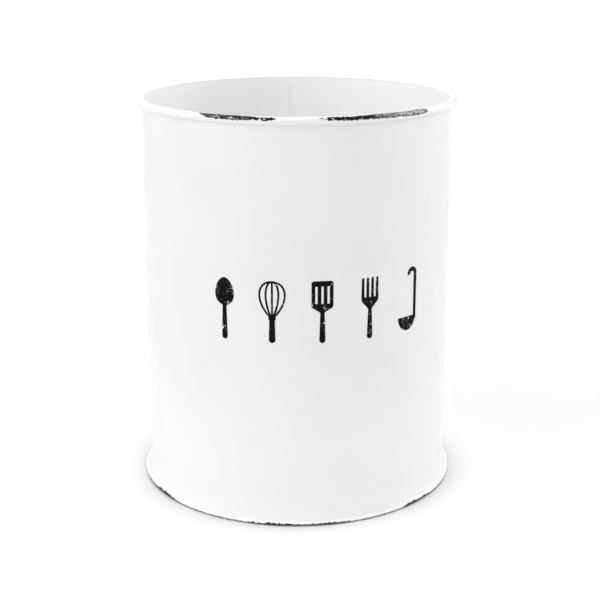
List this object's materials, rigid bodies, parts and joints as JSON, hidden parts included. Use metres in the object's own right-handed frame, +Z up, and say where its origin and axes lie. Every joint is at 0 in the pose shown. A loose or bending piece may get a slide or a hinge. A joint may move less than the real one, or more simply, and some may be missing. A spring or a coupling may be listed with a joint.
{
  "type": "utensil caddy",
  "caption": "Open-topped round utensil caddy of white enamelled sheet steel, with a wired rim, a flared foot and a recessed base, for standing kitchen tools in.",
  "frame": {"origin": "centre of the foot, on the surface that the caddy stands on", "axes": "+Z is up along the can's axis, -Y is the printed front and +X is the right seen from the front; the lock seam is at the back, near +Y"},
  "size_m": [0.1348, 0.1348, 0.165],
  "materials": {
    "enamel_wall": "gloss white enamel, worn to dark steel along the rim",
    "wire_steel": "plain drawn wire",
    "enamel_base": "gloss white enamel, worn to dark steel along the foot"
  },
  "bodies": {
    "root": {"body_wall": "enamel_wall", "rim_wire": "wire_steel", "base_pan": "enamel_base"}
  },
  "joints": []
}
